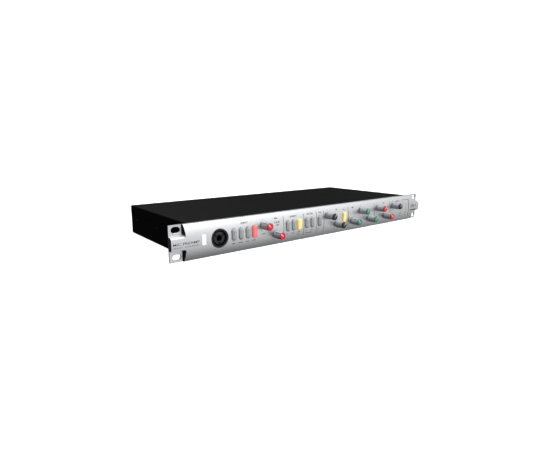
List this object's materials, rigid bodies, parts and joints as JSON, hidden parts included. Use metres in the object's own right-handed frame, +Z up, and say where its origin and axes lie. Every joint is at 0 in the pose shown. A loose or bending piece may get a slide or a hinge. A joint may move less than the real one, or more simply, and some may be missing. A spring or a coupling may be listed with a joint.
{
  "type": "microphone preamp",
  "caption": "Rack-mount microphone preamp with a bulged silver panel, knobs, push buttons, front combination socket and black steel case.",
  "frame": {"origin": "under the centre of the object's box, level with the lowest edge of the front panel", "axes": "+Z up, +X to the right of the front panel, +Y from the front panel towards the rear sockets"},
  "size_m": [0.4826, 0.217, 0.0437],
  "materials": {
    "brushed_aluminium": "silver anodised, bulged and finely grained",
    "black_steel": "satin black powder coat",
    "grey_plastic": "satin",
    "cap_red": "semi-gloss",
    "cap_black": "semi-gloss",
    "cap_green": "semi-gloss",
    "button_grey": "translucent grey, unlit",
    "button_red_lit": "lit red",
    "button_yellow_lit": "lit yellow",
    "button_white_lit": "lit white",
    "steel": "machined",
    "black_plastic": "moulded",
    "circuit_board": "solder mask",
    "transformer_wrap": "wound copper under amber tape",
    "cable_grey": "ribbed flat cable",
    "clear_lens": "clear light guide"
  },
  "bodies": {
    "case": {"front_panel": "brushed_aluminium", "chassis_tray": "black_steel", "top_cover": "black_steel", "rear_panel": "black_steel", "control_board": "circuit_board", "main_board": "circuit_board", "power_board": "circuit_board", "heat_sink": "steel", "mains_transformer": "transformer_wrap", "ribbon_cable": "cable_grey", "combo_socket": "black_plastic", "line_input_socket": "black_plastic", "output_socket": "black_plastic", "insert_send_jack": "black_plastic", "insert_return_jack": "black_plastic", "mains_inlet": "black_plastic", "meter_lights": "clear_lens"},
    "mic_gain": {"mic_gain_knob": "grey_plastic", "mic_gain_cap": "cap_red", "mic_gain_shaft": "steel"},
    "line_gain": {"line_gain_knob": "grey_plastic", "line_gain_cap": "cap_red", "line_gain_shaft": "steel"},
    "bass_gain": {"bass_gain_knob": "grey_plastic", "bass_gain_cap": "cap_black", "bass_gain_shaft": "steel"},
    "bass_frequency": {"bass_frequency_knob": "grey_plastic", "bass_frequency_cap": "cap_black", "bass_frequency_shaft": "steel"},
    "mid_width": {"mid_width_knob": "grey_plastic", "mid_width_cap": "cap_green", "mid_width_shaft": "steel"},
    "mid_gain": {"mid_gain_knob": "grey_plastic", "mid_gain_cap": "cap_green", "mid_gain_shaft": "steel"},
    "mid_frequency": {"mid_frequency_knob": "grey_plastic", "mid_frequency_cap": "cap_green", "mid_frequency_shaft": "steel"},
    "treble_gain": {"treble_gain_knob": "grey_plastic", "treble_gain_cap": "cap_red", "treble_gain_shaft": "steel"},
    "treble_frequency": {"treble_frequency_knob": "grey_plastic", "treble_frequency_cap": "cap_red", "treble_frequency_shaft": "steel"},
    "output_level": {"output_level_knob": "grey_plastic", "output_level_cap": "cap_black", "output_level_shaft": "steel"},
    "phantom_button": {"phantom_button": "button_grey"},
    "polarity_button": {"polarity_button": "button_grey"},
    "pad_button": {"pad_button": "button_grey"},
    "input_select_button": {"input_select_button": "button_red_lit"},
    "insert_button": {"insert_button": "button_grey"},
    "insert_pre_button": {"insert_pre_button": "button_grey"},
    "insert_sum_button": {"insert_sum_button": "button_yellow_lit"},
    "low_cut_button": {"low_cut_button": "button_grey"},
    "high_cut_button": {"high_cut_button": "button_grey"},
    "equaliser_button": {"equaliser_button": "button_grey"},
    "bass_shelf_button": {"bass_shelf_button": "button_yellow_lit"},
    "power_button": {"power_button": "button_white_lit"}
  },
  "joints": [
    {"name": "mic_gain_turn", "type": "hinge", "parent": "case", "child": "mic_gain", "pos_m": [-0.114, -0.09335, 0.0295], "axis": [0, 1, 0], "range_deg": [-108, 192]},
    {"name": "line_gain_turn", "type": "hinge", "parent": "case", "child": "line_gain", "pos_m": [-0.0937, -0.09335, 0.0148], "axis": [0, 1, 0], "range_deg": [-105, 195]},
    {"name": "bass_gain_turn", "type": "hinge", "parent": "case", "child": "bass_gain", "pos_m": [0.0045, -0.09335, 0.0295], "axis": [0, 1, 0], "range_deg": [-185, 115]},
    {"name": "bass_frequency_turn", "type": "hinge", "parent": "case", "child": "bass_frequency", "pos_m": [0.0245, -0.09335, 0.0148], "axis": [0, 1, 0], "range_deg": [-188, 112]},
    {"name": "mid_width_turn", "type": "hinge", "parent": "case", "child": "mid_width", "pos_m": [0.06, -0.09335, 0.0148], "axis": [0, 1, 0], "range_deg": [-110, 190]},
    {"name": "mid_gain_turn", "type": "hinge", "parent": "case", "child": "mid_gain", "pos_m": [0.0791, -0.09335, 0.0295], "axis": [0, 1, 0], "range_deg": [-160, 140]},
    {"name": "mid_frequency_turn", "type": "hinge", "parent": "case", "child": "mid_frequency", "pos_m": [0.0996, -0.09335, 0.0148], "axis": [0, 1, 0], "range_deg": [-190, 110]},
    {"name": "treble_gain_turn", "type": "hinge", "parent": "case", "child": "treble_gain", "pos_m": [0.1221, -0.09335, 0.0295], "axis": [0, 1, 0], "range_deg": [-192, 108]},
    {"name": "treble_frequency_turn", "type": "hinge", "parent": "case", "child": "treble_frequency", "pos_m": [0.1417, -0.09335, 0.0148], "axis": [0, 1, 0], "range_deg": [-110, 190]},
    {"name": "output_level_turn", "type": "hinge", "parent": "case", "child": "output_level", "pos_m": [0.1645, -0.09335, 0.0295], "axis": [0, 1, 0], "range_deg": [-150, 150]},
    {"name": "phantom_press", "type": "slide", "parent": "case", "child": "phantom_button", "axis": [0, 1, 0], "range_m": [0, 0.002], "stiffness_N_per_m": 600, "springref_m": -0.0008},
    {"name": "polarity_press", "type": "slide", "parent": "case", "child": "polarity_button", "axis": [0, 1, 0], "range_m": [0, 0.002], "stiffness_N_per_m": 600, "springref_m": -0.0008},
    {"name": "pad_press", "type": "slide", "parent": "case", "child": "pad_button", "axis": [0, 1, 0], "range_m": [0, 0.002], "stiffness_N_per_m": 600, "springref_m": -0.0008},
    {"name": "input_select_press", "type": "slide", "parent": "case", "child": "input_select_button", "axis": [0, 1, 0], "range_m": [0, 0.002], "stiffness_N_per_m": 600, "springref_m": -0.0008},
    {"name": "insert_press", "type": "slide", "parent": "case", "child": "insert_button", "axis": [0, 1, 0], "range_m": [0, 0.002], "stiffness_N_per_m": 600, "springref_m": -0.0008},
    {"name": "insert_pre_press", "type": "slide", "parent": "case", "child": "insert_pre_button", "axis": [0, 1, 0], "range_m": [0, 0.002], "stiffness_N_per_m": 600, "springref_m": -0.0008},
    {"name": "insert_sum_press", "type": "slide", "parent": "case", "child": "insert_sum_button", "axis": [0, 1, 0], "range_m": [0, 0.002], "stiffness_N_per_m": 600, "springref_m": -0.0008},
    {"name": "low_cut_press", "type": "slide", "parent": "case", "child": "low_cut_button", "axis": [0, 1, 0], "range_m": [0, 0.002], "stiffness_N_per_m": 600, "springref_m": -0.0008},
    {"name": "high_cut_press", "type": "slide", "parent": "case", "child": "high_cut_button", "axis": [0, 1, 0], "range_m": [0, 0.002], "stiffness_N_per_m": 600, "springref_m": -0.0008},
    {"name": "equaliser_press", "type": "slide", "parent": "case", "child": "equaliser_button", "axis": [0, 1, 0], "range_m": [0, 0.002], "stiffness_N_per_m": 600, "springref_m": -0.0008},
    {"name": "bass_shelf_press", "type": "slide", "parent": "case", "child": "bass_shelf_button", "axis": [0, 1, 0], "range_m": [0, 0.002], "stiffness_N_per_m": 600, "springref_m": -0.0008},
    {"name": "power_press", "type": "slide", "parent": "case", "child": "power_button", "axis": [0, 1, 0], "range_m": [0, 0.0009], "stiffness_N_per_m": 900, "springref_m": -0.0008}
  ]
}
